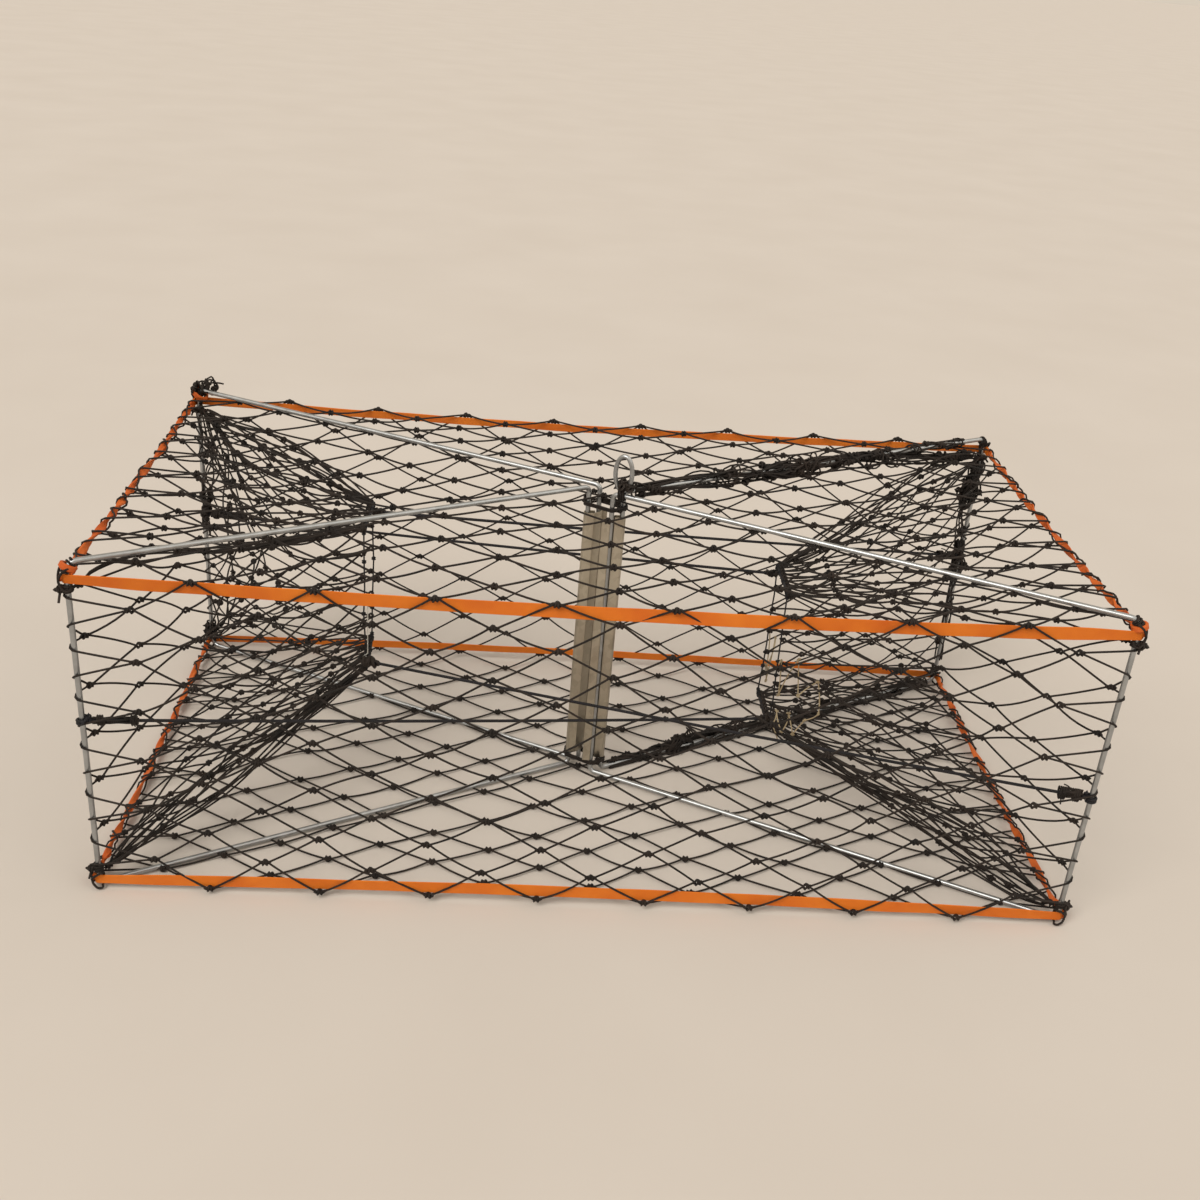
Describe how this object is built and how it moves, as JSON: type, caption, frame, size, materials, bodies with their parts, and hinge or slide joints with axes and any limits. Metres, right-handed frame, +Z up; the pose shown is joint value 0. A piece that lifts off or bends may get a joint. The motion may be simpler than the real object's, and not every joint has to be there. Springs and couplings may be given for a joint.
{
  "type": "crab trap",
  "caption": "Folding crab trap: a long box of knotted net on hinged wire arms, with tape round its edges, a net funnel at each end and a lifting ring.",
  "frame": {"origin": "under the middle of the post, on the underside of the bottom net", "axes": "+X along the long side to the right end, +Y from the front to the back, +Z up"},
  "size_m": [0.9148, 0.4718, 0.3702],
  "materials": {
    "galvanised_wire": "hot-dip galvanised steel wire, dull silver grey",
    "galvanised_sheet": "galvanised steel sheet, smooth and a little glossy",
    "black_twine": "tarred black braided twine",
    "black_netting": "black twisted nylon netting twine",
    "black_cord": "black braided cord",
    "orange_webbing": "orange woven polypropylene webbing",
    "cream_lacing": "cream twisted cotton twine",
    "clear_nylon": "clear nylon monofilament"
  },
  "bodies": {
    "cover": {"front_net": "black_netting", "back_net": "black_netting", "top_net": "black_netting", "bottom_net": "black_netting", "left_funnel_top": "black_netting", "left_funnel_bottom": "black_netting", "left_funnel_front": "black_netting", "left_funnel_back": "black_netting", "right_funnel_top": "black_netting", "right_funnel_bottom": "black_netting", "right_funnel_front": "black_netting", "right_funnel_back": "black_netting", "left_throat_rim": "black_cord", "right_throat_rim": "black_cord", "top_tape_front": "orange_webbing", "top_tape_back": "orange_webbing", "top_tape_left": "orange_webbing", "top_tape_right": "orange_webbing", "bottom_tape_front": "orange_webbing", "bottom_tape_back": "orange_webbing", "bottom_tape_left": "orange_webbing", "bottom_tape_right": "orange_webbing", "front_left_cord": "black_cord", "front_right_cord": "black_cord", "back_left_cord": "black_cord", "back_right_cord": "black_cord", "throat_lacing": "cream_lacing", "throat_line": "clear_nylon", "post_top_lashing": "black_twine", "post_bottom_lashing": "black_twine"},
    "post_left": {"left_clasp": "galvanised_sheet"},
    "post_right": {"right_clasp": "galvanised_sheet"},
    "arm_front_left": {"front_left_arm": "galvanised_wire", "front_left_top_lashing": "black_twine", "front_left_bottom_lashing": "black_twine", "front_left_cord_tie": "black_cord"},
    "arm_back_left": {"back_left_arm": "galvanised_wire", "back_left_top_lashing": "black_twine", "back_left_bottom_lashing": "black_twine", "back_left_cord_tie": "black_cord"},
    "arm_front_right": {"front_right_arm": "galvanised_wire", "front_right_top_lashing": "black_twine", "front_right_bottom_lashing": "black_twine", "front_right_cord_tie": "black_cord", "ring_tie": "black_twine"},
    "arm_back_right": {"back_right_arm": "galvanised_wire", "back_right_top_lashing": "black_twine", "back_right_bottom_lashing": "black_twine", "back_right_cord_tie": "black_cord", "top_seam_lacing": "black_twine", "bottom_seam_lacing": "black_twine"},
    "ring": {"lifting_ring": "galvanised_wire"}
  },
  "joints": [
    {"name": "left_clasp_slide", "type": "slide", "parent": "cover", "child": "post_left", "axis": [0.998, 0.0635, 0], "range_m": [0, 0.05512]},
    {"name": "right_clasp_slide", "type": "slide", "parent": "cover", "child": "post_right", "axis": [-0.998, -0.0635, 0], "range_m": [0, 0.05512]},
    {"name": "front_left_fold", "type": "hinge", "parent": "post_left", "child": "arm_front_left", "pos_m": [-0.017, 0.0042, 0], "axis": [0, 0, -1], "range_deg": [0, 26.3], "deforming": ["front_net", "back_net", "top_net", "bottom_net", "left_funnel_top", "left_funnel_bottom", "left_funnel_front", "left_funnel_back", "right_funnel_top", "right_funnel_bottom", "right_funnel_front", "right_funnel_back", "left_throat_rim", "right_throat_rim", "top_tape_front", "top_tape_back", "top_tape_left", "top_tape_right", "bottom_tape_front", "bottom_tape_back", "bottom_tape_left", "bottom_tape_right", "front_left_cord", "front_right_cord", "back_left_cord", "back_right_cord", "throat_lacing", "throat_line", "post_top_lashing", "post_bottom_lashing"]},
    {"name": "back_left_fold", "type": "hinge", "parent": "post_left", "child": "arm_back_left", "pos_m": [-0.006, 0.0104, 0], "axis": [0, 0, 1], "range_deg": [0, 26.3]},
    {"name": "front_right_fold", "type": "hinge", "parent": "post_right", "child": "arm_front_right", "pos_m": [0.006, -0.0104, 0], "axis": [0, 0, 1], "range_deg": [0, 26.3]},
    {"name": "back_right_fold", "type": "hinge", "parent": "post_right", "child": "arm_back_right", "pos_m": [0.017, -0.0042, 0], "axis": [0, 0, -1], "range_deg": [0, 26.3]},
    {"name": "ring_tilt", "type": "hinge", "parent": "arm_front_right", "child": "ring", "pos_m": [0.01407, -0.01439, 0.33245], "axis": [0.8964, -0.4433, 0], "range_deg": [-75, 75], "deforming": ["ring_tie"]}
  ],
  "couplings": [
    {"joint": "left_clasp_slide", "follows": "front_left_fold", "m_per_rad": 0.12006},
    {"joint": "right_clasp_slide", "follows": "front_left_fold", "m_per_rad": 0.12006},
    {"joint": "back_left_fold", "follows": "front_left_fold", "ratio": 1},
    {"joint": "front_right_fold", "follows": "front_left_fold", "ratio": 1},
    {"joint": "back_right_fold", "follows": "front_left_fold", "ratio": 1}
  ]
}
